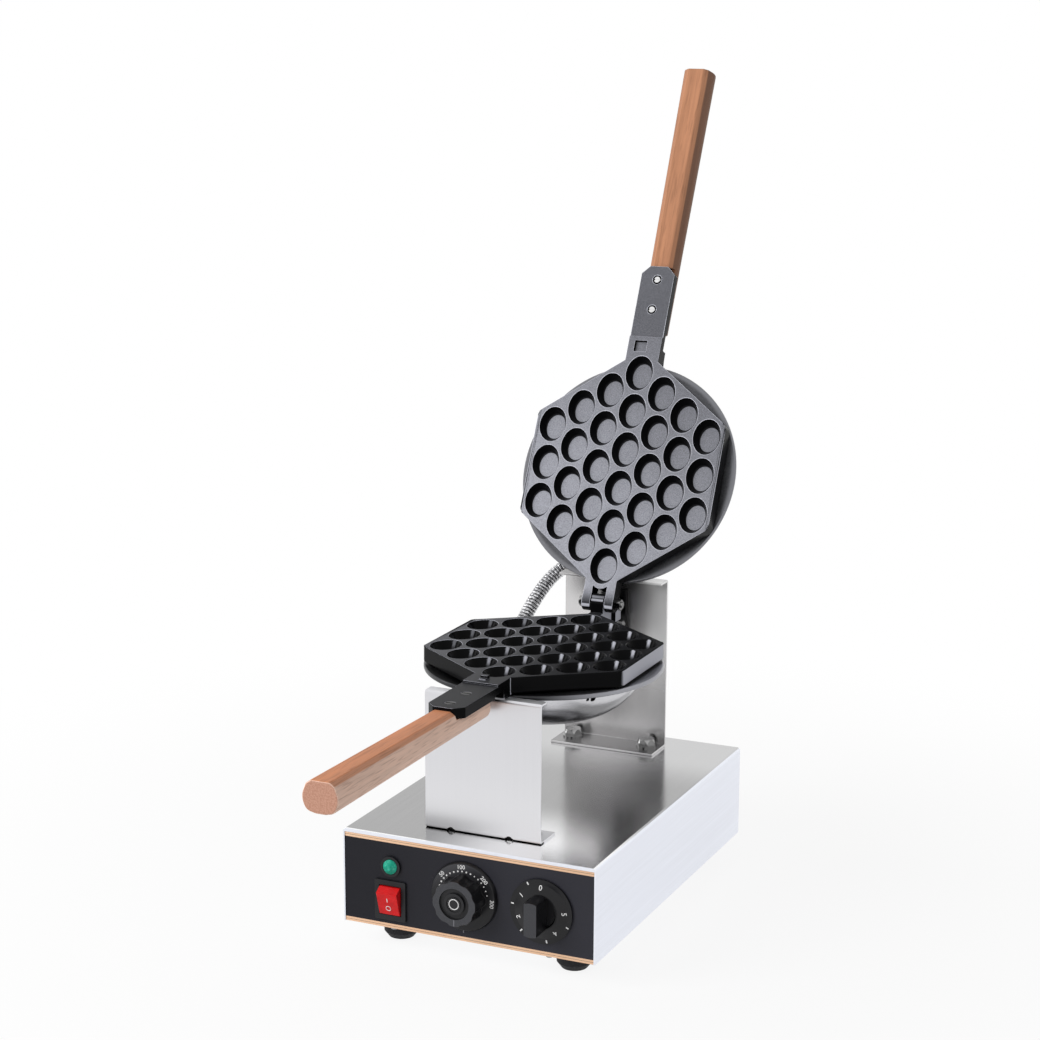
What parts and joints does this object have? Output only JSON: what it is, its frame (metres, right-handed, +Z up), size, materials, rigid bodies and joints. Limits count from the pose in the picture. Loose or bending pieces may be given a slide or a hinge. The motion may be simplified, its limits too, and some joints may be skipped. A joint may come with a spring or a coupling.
{
  "type": "egg waffle pan",
  "caption": "Electric egg waffle iron on a steel box: two cast hexagonal cup plates with wooden handles, the upper one hinged open at the rear.",
  "frame": {"origin": "middle of the outline in plan, on the surface the feet stand on, lid open", "axes": "+X to the right seen from the controls, +Y from the controls to the hinge, +Z up"},
  "size_m": [0.2, 0.6668, 0.6224],
  "materials": {
    "case_steel": "brushed sheet, folded edges",
    "bracket_steel": "brushed sheet, folded",
    "panel_black": "printed film, satin black",
    "foot_rubber": "moulded, matt",
    "fastener_steel": "zinc plated",
    "grip_fastener": "blackened",
    "mould_cast": "cast, dark non-stick coat",
    "disc_cast": "turned casting",
    "cover_steel": "spun sheet, polished",
    "element_steel": "heated tube, dull",
    "plain_steel": "plain",
    "dark_steel": "blackened",
    "pad_fibre": "pressed mineral fibre",
    "handle_wood": "turned beech, oiled",
    "hose_steel": "wound strip, bright",
    "gland_metal": "plated",
    "bush_brass": "turned",
    "knob_black": "moulded, satin",
    "switch_black": "moulded",
    "rocker_red": "moulded, see-through red",
    "lamp_green": "moulded, see-through green",
    "unit_steel": "pressed can",
    "block_white": "moulded"
  },
  "bodies": {
    "base": {"housing_cover": "case_steel", "bottom_plate": "case_steel", "front_panel": "case_steel", "rear_panel": "case_steel", "panel_film": "panel_black", "rubber_feet": "foot_rubber", "foot_screws": "fastener_steel", "case_screws": "fastener_steel", "front_bracket": "bracket_steel", "rear_bracket": "bracket_steel", "bracket_bolts": "fastener_steel", "bracket_nuts": "fastener_steel", "lamp_lens": "lamp_green", "lamp_body": "switch_black", "switch_body": "switch_black", "thermostat_body": "unit_steel", "timer_body": "unit_steel", "control_screws": "fastener_steel", "terminal_block": "block_white", "mains_gland": "switch_black", "top_glands": "gland_metal", "lid_hose": "hose_steel", "lower_plate": "mould_cast", "lower_heat_disc": "disc_cast", "lower_disc_screws": "fastener_steel", "lower_element": "element_steel", "lower_clamp_plate": "plain_steel", "lower_insulation": "pad_fibre", "lower_cover": "cover_steel", "lower_cover_stud": "fastener_steel", "lower_cover_nut": "fastener_steel", "lower_gland": "gland_metal", "lower_handle": "handle_wood", "lower_handle_screws": "grip_fastener", "spindle": "plain_steel", "spindle_bush": "bush_brass", "spindle_block": "dark_steel", "spindle_block_screws": "fastener_steel", "spindle_nut": "fastener_steel"},
    "lid": {"lid_plate": "mould_cast", "lid_heat_disc": "disc_cast", "lid_disc_screws": "fastener_steel", "lid_element": "element_steel", "lid_clamp_plate": "plain_steel", "lid_insulation": "pad_fibre", "lid_cover": "cover_steel", "lid_cover_stud": "fastener_steel", "lid_cover_nut": "fastener_steel", "lid_handle": "handle_wood", "lid_handle_screws": "grip_fastener", "lid_elbow": "gland_metal", "hinge_bolt": "fastener_steel", "hinge_nut": "fastener_steel"},
    "thermostat_knob": {"thermostat_knob": "knob_black", "knob_cap": "knob_black", "thermostat_shaft": "plain_steel"},
    "timer_knob": {"timer_knob": "knob_black", "timer_shaft": "plain_steel"},
    "rocker": {"rocker": "rocker_red"}
  },
  "joints": [
    {"name": "lid_hinge", "type": "hinge", "parent": "base", "child": "lid", "pos_m": [0, 0.11961, 0.2135], "axis": [1, 0, 0], "range_deg": [0, 116], "deforming": ["lid_hose"]},
    {"name": "thermostat_turn", "type": "hinge", "parent": "base", "child": "thermostat_knob", "pos_m": [-0.0016, -0.12269, 0.0535], "axis": [0, 1, 0], "range_deg": [0, 270]},
    {"name": "timer_turn", "type": "hinge", "parent": "base", "child": "timer_knob", "pos_m": [0.0588, -0.12269, 0.0523], "axis": [0, 1, 0], "range_deg": [0, 300]},
    {"name": "rocker_tilt", "type": "hinge", "parent": "base", "child": "rocker", "pos_m": [-0.0613, -0.12169, 0.0405], "axis": [1, 0, 0], "range_deg": [-22, 0]}
  ]
}
